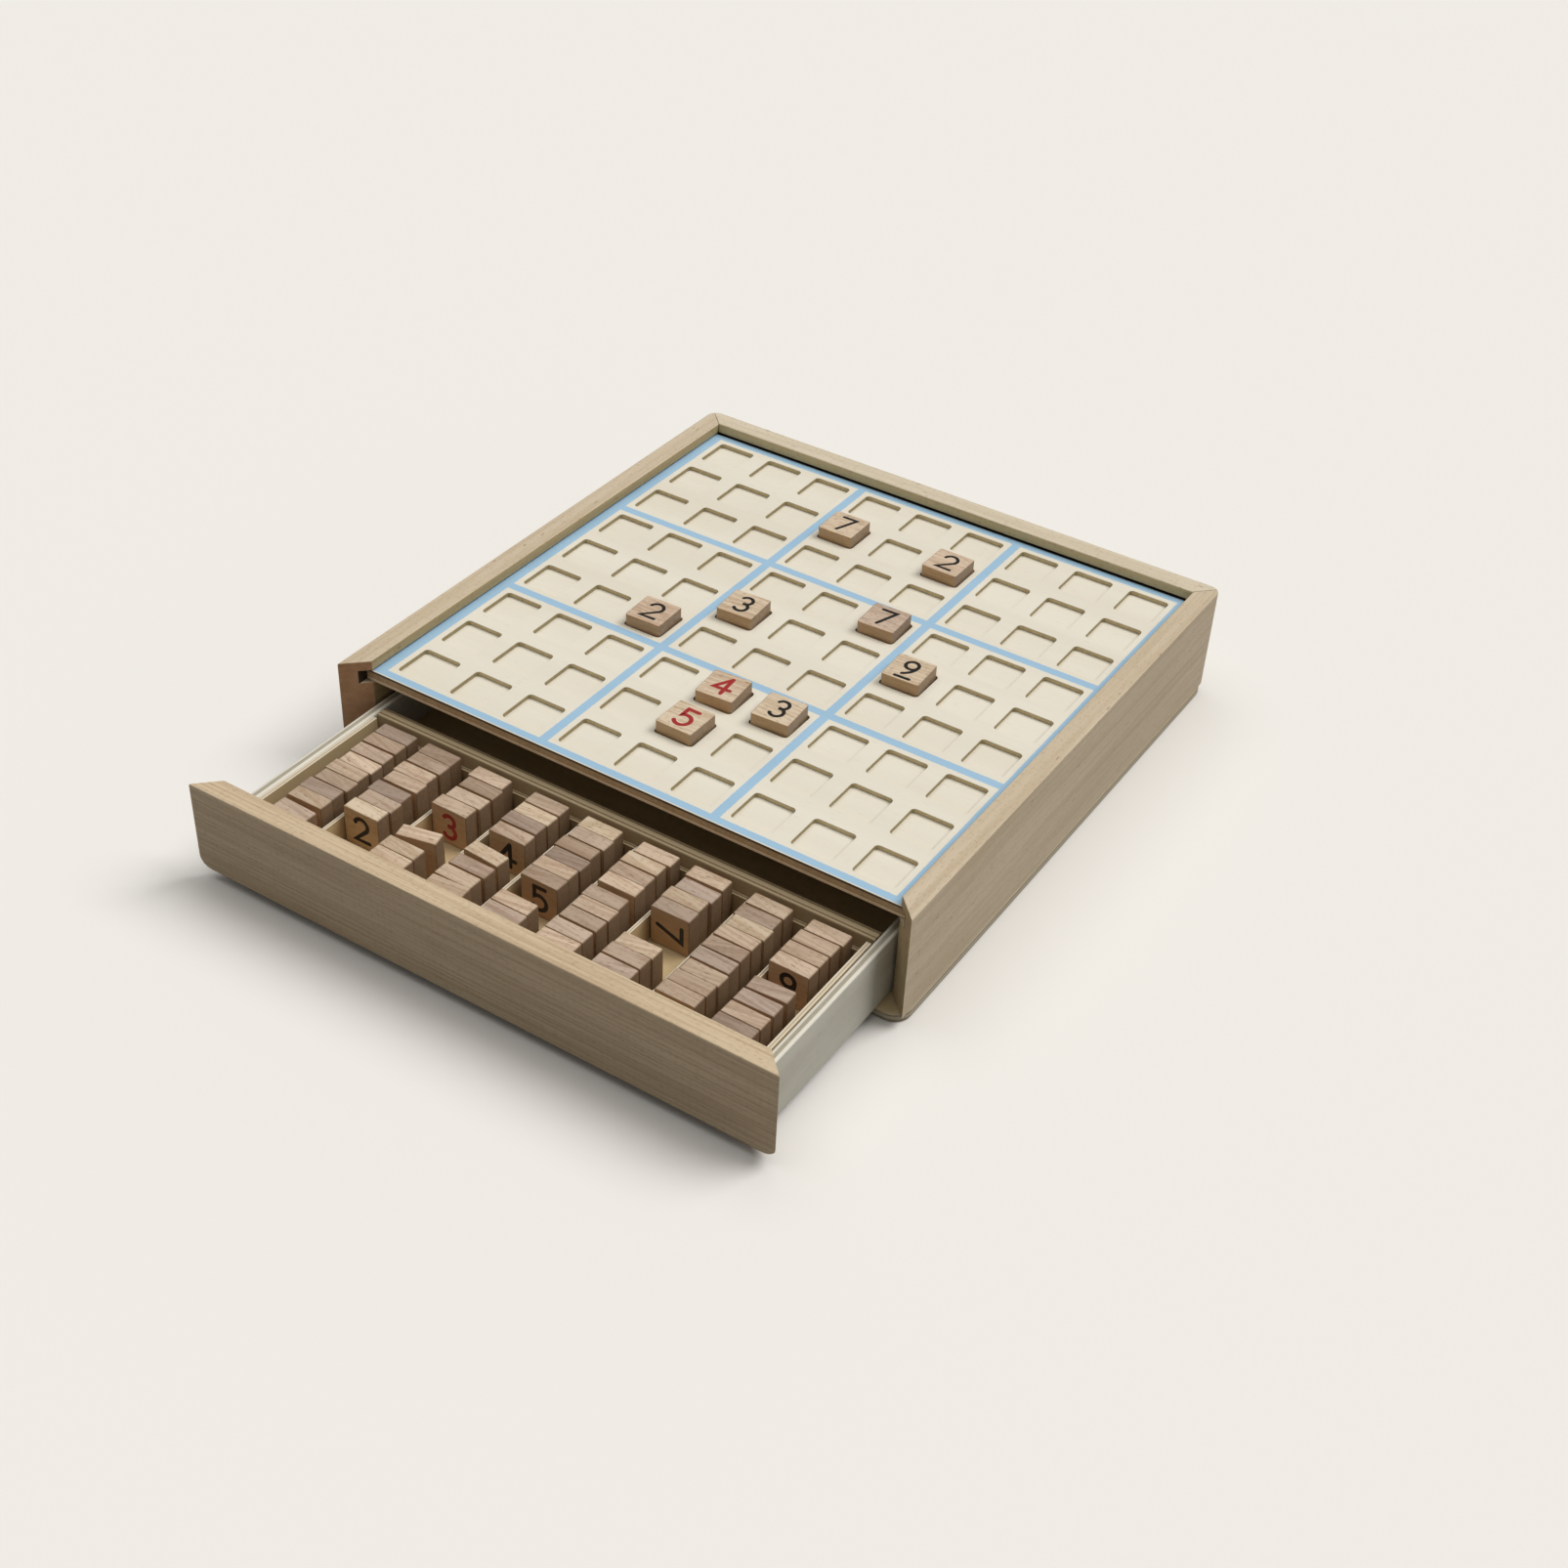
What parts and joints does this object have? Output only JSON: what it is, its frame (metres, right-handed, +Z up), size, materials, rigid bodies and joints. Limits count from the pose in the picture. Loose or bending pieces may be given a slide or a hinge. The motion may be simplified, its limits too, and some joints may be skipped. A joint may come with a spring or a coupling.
{
  "type": "wooden sudoku board",
  "caption": "Square wooden sudoku board: a mitred case with a sunken grid of recesses for number tiles, over a pull-out drawer whose divided tray stores the tiles.",
  "frame": {"origin": "centre of the case's underside, on the surface that the board stands on", "axes": "+Z up, -Y towards the player, the way the drawer opens, +X to the player's right"},
  "size_m": [0.28, 0.368, 0.055],
  "materials": {
    "beech": "planed beech, thin matt lacquer",
    "plywood": "sanded pale plywood, bare",
    "pale_sheet": "thin sheet with a cream printed face and blue lines",
    "tile_wood": "sanded beech with printed digits"
  },
  "bodies": {
    "case": {"case_bottom": "plywood", "left_rail": "beech", "right_rail": "beech", "back_rail": "beech", "board_base": "pale_sheet", "playing_grid": "pale_sheet"},
    "drawer": {"drawer_front": "beech", "drawer_left_side": "plywood", "drawer_right_side": "plywood", "drawer_back": "plywood", "drawer_floor": "plywood", "tray_cross_wall": "plywood", "tray_rear_strip": "plywood", "tray_left_lining": "plywood", "tray_right_lining": "plywood", "divider_1": "plywood", "divider_2": "plywood", "divider_3": "plywood", "divider_4": "plywood", "divider_5": "plywood", "divider_6": "plywood", "divider_7": "plywood", "divider_8": "plywood"},
    "tile_7_row8_column4": {"tile_7_row8_column4": "tile_wood"},
    "tile_2_row8_column6": {"tile_2_row8_column6": "tile_wood"},
    "tile_7_row6_column6": {"tile_7_row6_column6": "tile_wood"},
    "tile_3_row5_column4": {"tile_3_row5_column4": "tile_wood"},
    "tile_9_row5_column7": {"tile_9_row5_column7": "tile_wood"},
    "tile_2_row4_column3": {"tile_2_row4_column3": "tile_wood"},
    "tile_4_row3_column5": {"tile_4_row3_column5": "tile_wood"},
    "tile_3_row3_column6": {"tile_3_row3_column6": "tile_wood"},
    "tile_5_row2_column5": {"tile_5_row2_column5": "tile_wood"},
    "stored_1s": {"stored_1s_front": "tile_wood", "stored_1s_rear": "tile_wood"},
    "stored_2s": {"stored_2s_rear": "tile_wood"},
    "stored_3s": {"stored_3s_front": "tile_wood", "stored_3s_rear": "tile_wood"},
    "stored_4s": {"stored_4s_front": "tile_wood", "stored_4s_rear": "tile_wood"},
    "stored_5s": {"stored_5s_front": "tile_wood", "stored_5s_rear": "tile_wood"},
    "stored_6s": {"stored_6s_front": "tile_wood", "stored_6s_rear": "tile_wood"},
    "stored_7s": {"stored_7s_front": "tile_wood", "stored_7s_rear": "tile_wood"},
    "stored_8s": {"stored_8s_rear": "tile_wood"},
    "stored_9s": {"stored_9s_front": "tile_wood", "stored_9s_rear": "tile_wood"}
  },
  "joints": [
    {"name": "drawer_slide", "type": "slide", "parent": "case", "child": "drawer", "axis": [0, -1, 0], "range_m": [-0.088, 0.12]},
    {"name": "lift_tile_7_row8_column4", "type": "slide", "parent": "case", "child": "tile_7_row8_column4", "axis": [0, 0, 1], "range_m": [0, 0.03]},
    {"name": "lift_tile_2_row8_column6", "type": "slide", "parent": "case", "child": "tile_2_row8_column6", "axis": [0, 0, 1], "range_m": [0, 0.03]},
    {"name": "lift_tile_7_row6_column6", "type": "slide", "parent": "case", "child": "tile_7_row6_column6", "axis": [0, 0, 1], "range_m": [0, 0.03]},
    {"name": "lift_tile_3_row5_column4", "type": "slide", "parent": "case", "child": "tile_3_row5_column4", "axis": [0, 0, 1], "range_m": [0, 0.03]},
    {"name": "lift_tile_9_row5_column7", "type": "slide", "parent": "case", "child": "tile_9_row5_column7", "axis": [0, 0, 1], "range_m": [0, 0.03]},
    {"name": "lift_tile_2_row4_column3", "type": "slide", "parent": "case", "child": "tile_2_row4_column3", "axis": [0, 0, 1], "range_m": [0, 0.03]},
    {"name": "lift_tile_4_row3_column5", "type": "slide", "parent": "case", "child": "tile_4_row3_column5", "axis": [0, 0, 1], "range_m": [0, 0.03]},
    {"name": "lift_tile_3_row3_column6", "type": "slide", "parent": "case", "child": "tile_3_row3_column6", "axis": [0, 0, 1], "range_m": [0, 0.03]},
    {"name": "lift_tile_5_row2_column5", "type": "slide", "parent": "case", "child": "tile_5_row2_column5", "axis": [0, 0, 1], "range_m": [0, 0.03]},
    {"name": "lift_stored_1s", "type": "slide", "parent": "drawer", "child": "stored_1s", "axis": [0, 0, 1], "range_m": [0, 0.04]},
    {"name": "lift_stored_2s", "type": "slide", "parent": "drawer", "child": "stored_2s", "axis": [0, 0, 1], "range_m": [0, 0.04]},
    {"name": "lift_stored_3s", "type": "slide", "parent": "drawer", "child": "stored_3s", "axis": [0, 0, 1], "range_m": [0, 0.04]},
    {"name": "lift_stored_4s", "type": "slide", "parent": "drawer", "child": "stored_4s", "axis": [0, 0, 1], "range_m": [0, 0.04]},
    {"name": "lift_stored_5s", "type": "slide", "parent": "drawer", "child": "stored_5s", "axis": [0, 0, 1], "range_m": [0, 0.04]},
    {"name": "lift_stored_6s", "type": "slide", "parent": "drawer", "child": "stored_6s", "axis": [0, 0, 1], "range_m": [0, 0.04]},
    {"name": "lift_stored_7s", "type": "slide", "parent": "drawer", "child": "stored_7s", "axis": [0, 0, 1], "range_m": [0, 0.04]},
    {"name": "lift_stored_8s", "type": "slide", "parent": "drawer", "child": "stored_8s", "axis": [0, 0, 1], "range_m": [0, 0.04]},
    {"name": "lift_stored_9s", "type": "slide", "parent": "drawer", "child": "stored_9s", "axis": [0, 0, 1], "range_m": [0, 0.04]}
  ]
}
